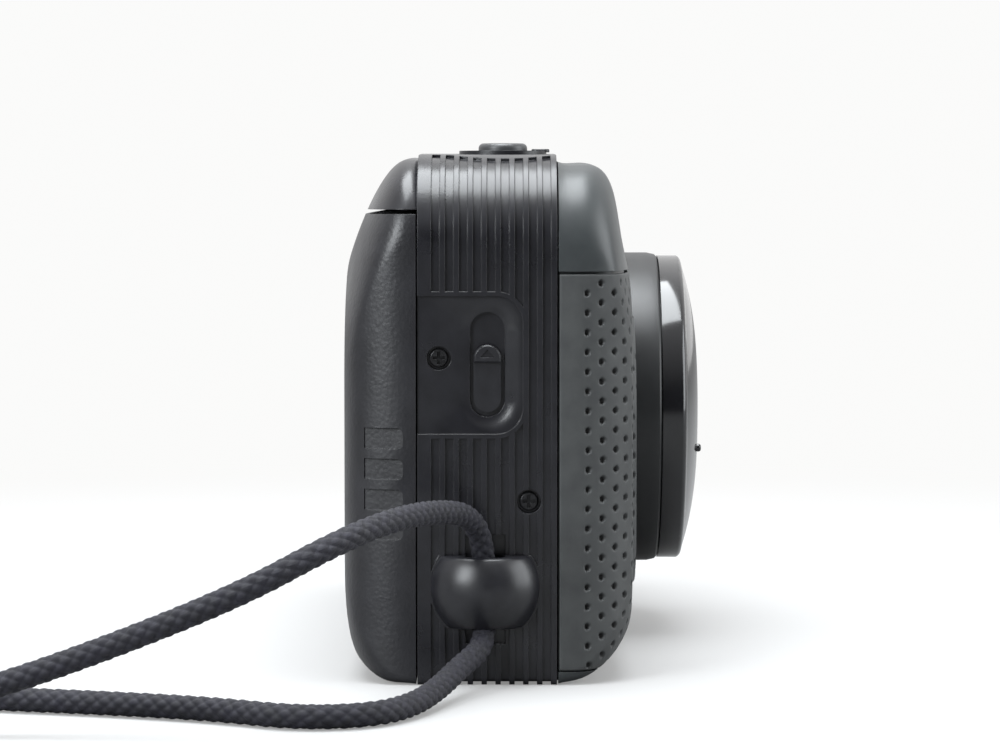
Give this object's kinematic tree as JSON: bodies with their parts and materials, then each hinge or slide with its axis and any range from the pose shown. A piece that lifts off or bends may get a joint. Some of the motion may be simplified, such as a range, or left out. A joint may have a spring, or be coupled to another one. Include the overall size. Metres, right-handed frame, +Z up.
{
  "type": "compact film camera",
  "caption": "Pocket camera for 35 mm film with a two-stage zoom lens, hinged film door, side latch and wrist cord.",
  "frame": {"origin": "mouth of the tripod socket, in the plane of the flat base", "axes": "+Z up from the base, the lens looks along -Y, the grip and latch side is -X"},
  "size_m": [0.1743, 0.1469, 0.0733],
  "materials": {
    "casing_plastic": "fine satin moulded",
    "door_skin": "fine leather grain",
    "front_skin": "satin moulded",
    "grip_rubber": "matt with dimples",
    "gloss_black": "polished",
    "barrel_black": "satin",
    "blade_black": "matt black",
    "lens_glass": "coated",
    "window_glass": "clear",
    "flash_diffuser": "ribbed",
    "lamp_red": "translucent",
    "chassis_black": "moulded",
    "plate_black": "satin black",
    "spring_steel": "bright",
    "screw_black": "black oxide",
    "bush_brass": "plain",
    "cord_braid": "round braid",
    "control_grey": "satin",
    "control_black": "satin",
    "board_green": "lacquered",
    "motor_can": "plated",
    "reflector_mirror": "polished",
    "tube_glass": "clear",
    "sleeve_blue": "shrunk sleeve",
    "battery_jacket": "printed plain",
    "lcd_grey": "liquid crystal",
    "seal_foam": "foam"
  },
  "bodies": {
    "camera_body": {"main_body": "casing_plastic", "front_shell": "front_skin", "rubber_grip": "grip_rubber", "front_fascia": "gloss_black", "lens_collar": "barrel_black", "lens_guide_tube": "barrel_black", "viewfinder_window": "window_glass", "viewfinder_eyepiece": "window_glass", "lcd_window": "window_glass", "focus_windows": "window_glass", "light_sensor": "window_glass", "flash_window": "flash_diffuser", "self_timer_lamp": "lamp_red", "film_chassis": "chassis_black", "viewfinder_tube": "chassis_black", "door_hinge_pin": "spring_steel", "hatch_pin": "spring_steel", "battery_contact": "spring_steel", "case_screws": "screw_black", "tripod_bush": "bush_brass", "strap_cord": "cord_braid", "strap_lug": "control_black", "circuit_board": "board_green", "wind_motor": "motor_can", "zoom_motor": "motor_can", "flash_reflector": "reflector_mirror", "flash_tube": "tube_glass", "flash_capacitor": "sleeve_blue", "battery": "battery_jacket", "lcd_panel": "lcd_grey", "door_light_seals": "seal_foam"},
    "rear_door": {"rear_door": "door_skin", "film_window_pane": "window_glass", "plate_spring": "spring_steel"},
    "pressure_plate": {"pressure_plate": "plate_black"},
    "latch": {"latch_slider": "control_black"},
    "barrel_middle": {"zoom_barrel_middle": "barrel_black"},
    "barrel_front": {"zoom_barrel_front": "barrel_black", "front_bezel": "gloss_black", "barrier_ring": "barrel_black", "front_lens": "lens_glass", "front_lens_cell": "barrel_black", "rear_lens": "lens_glass", "rear_lens_cell": "barrel_black", "shutter_plate": "barrel_black"},
    "barrier_upper": {"barrier_blade_upper": "blade_black"},
    "barrier_lower": {"barrier_blade_lower": "blade_black"},
    "shutter_left": {"shutter_blade_left": "blade_black"},
    "shutter_right": {"shutter_blade_right": "blade_black"},
    "zoom_lever": {"zoom_lever": "control_black"},
    "shutter_button": {"shutter_button": "control_grey"},
    "flash_mode_button": {"flash_mode_button": "control_grey"},
    "timer_button": {"timer_button": "control_grey"},
    "date_button": {"date_button": "control_grey"},
    "power_button": {"power_button": "control_grey"},
    "rewind_button": {"rewind_button": "control_grey"},
    "battery_hatch": {"battery_hatch": "control_black", "hatch_contact": "spring_steel"},
    "take_up_spool": {"take_up_spool": "chassis_black"},
    "rewind_fork": {"rewind_fork": "chassis_black"}
  },
  "joints": [
    {"name": "door_hinge", "type": "hinge", "parent": "camera_body", "child": "rear_door", "pos_m": [0.061, 0.01215, 0.0335], "axis": [0, 0, -1], "range_deg": [0, 105]},
    {"name": "pressure_plate_float", "type": "slide", "parent": "rear_door", "child": "pressure_plate", "axis": [0, -1, 0], "range_m": [0, 0.0004], "stiffness_N_per_m": 200},
    {"name": "latch_slide", "type": "slide", "parent": "camera_body", "child": "latch", "axis": [0, 0, 1], "range_m": [0, 0.0038], "stiffness_N_per_m": 150},
    {"name": "zoom_middle_slide", "type": "slide", "parent": "camera_body", "child": "barrel_middle", "axis": [0, -1, 0], "range_m": [0, 0.013]},
    {"name": "zoom_front_slide", "type": "slide", "parent": "barrel_middle", "child": "barrel_front", "axis": [0, -1, 0], "range_m": [0, 0.013]},
    {"name": "barrier_upper_turn", "type": "hinge", "parent": "barrel_front", "child": "barrier_upper", "pos_m": [-0.0076, -0.0281, 0.0356], "axis": [0, -1, 0], "range_deg": [0, 37]},
    {"name": "barrier_lower_turn", "type": "hinge", "parent": "barrel_front", "child": "barrier_lower", "pos_m": [0.0196, -0.0281, 0.0316], "axis": [0, -1, 0], "range_deg": [0, 37]},
    {"name": "shutter_left_turn", "type": "hinge", "parent": "barrel_front", "child": "shutter_left", "pos_m": [0.0156, -0.0163, 0.035], "axis": [0, 1, 0], "range_deg": [0, 38]},
    {"name": "shutter_right_turn", "type": "hinge", "parent": "barrel_front", "child": "shutter_right", "pos_m": [-0.0036, -0.0163, 0.0322], "axis": [0, 1, 0], "range_deg": [0, 38]},
    {"name": "zoom_lever_turn", "type": "hinge", "parent": "camera_body", "child": "zoom_lever", "pos_m": [-0.042, -0.0016, 0.0715], "axis": [0, 0, 1], "range_deg": [-25, 25], "stiffness_Nm_per_rad": 0.02},
    {"name": "shutter_button_press", "type": "slide", "parent": "camera_body", "child": "shutter_button", "axis": [0, 0, -1], "range_m": [0, 0.0007], "stiffness_N_per_m": 600},
    {"name": "flash_mode_press", "type": "slide", "parent": "camera_body", "child": "flash_mode_button", "axis": [0, 0, -1], "range_m": [0, 0.0004], "stiffness_N_per_m": 600},
    {"name": "timer_press", "type": "slide", "parent": "camera_body", "child": "timer_button", "axis": [0, 0, -1], "range_m": [0, 0.0004], "stiffness_N_per_m": 600},
    {"name": "date_press", "type": "slide", "parent": "camera_body", "child": "date_button", "axis": [0, 0, -1], "range_m": [0, 0.0004], "stiffness_N_per_m": 600},
    {"name": "power_press", "type": "slide", "parent": "camera_body", "child": "power_button", "axis": [0, 0, -1], "range_m": [0, 0.0004], "stiffness_N_per_m": 600},
    {"name": "rewind_press", "type": "slide", "parent": "camera_body", "child": "rewind_button", "axis": [0, 0, 1], "range_m": [0, 0.0008], "stiffness_N_per_m": 600},
    {"name": "battery_hatch_hinge", "type": "hinge", "parent": "camera_body", "child": "battery_hatch", "pos_m": [-0.0505, 0.006, 0.001], "axis": [1, 0, 0], "range_deg": [0, 90]},
    {"name": "take_up_spin", "type": "hinge", "parent": "camera_body", "child": "take_up_spool", "pos_m": [-0.0312, 0.0002, 0.03], "axis": [0, 0, 1], "continuous": true},
    {"name": "fork_spin", "type": "hinge", "parent": "camera_body", "child": "rewind_fork", "pos_m": [0.0433, -0.0015, 0.01], "axis": [0, 0, 1], "continuous": true}
  ],
  "couplings": [
    {"joint": "zoom_front_slide", "follows": "zoom_middle_slide", "ratio": 1},
    {"joint": "barrier_lower_turn", "follows": "barrier_upper_turn", "ratio": 1},
    {"joint": "shutter_right_turn", "follows": "shutter_left_turn", "ratio": 1}
  ]
}
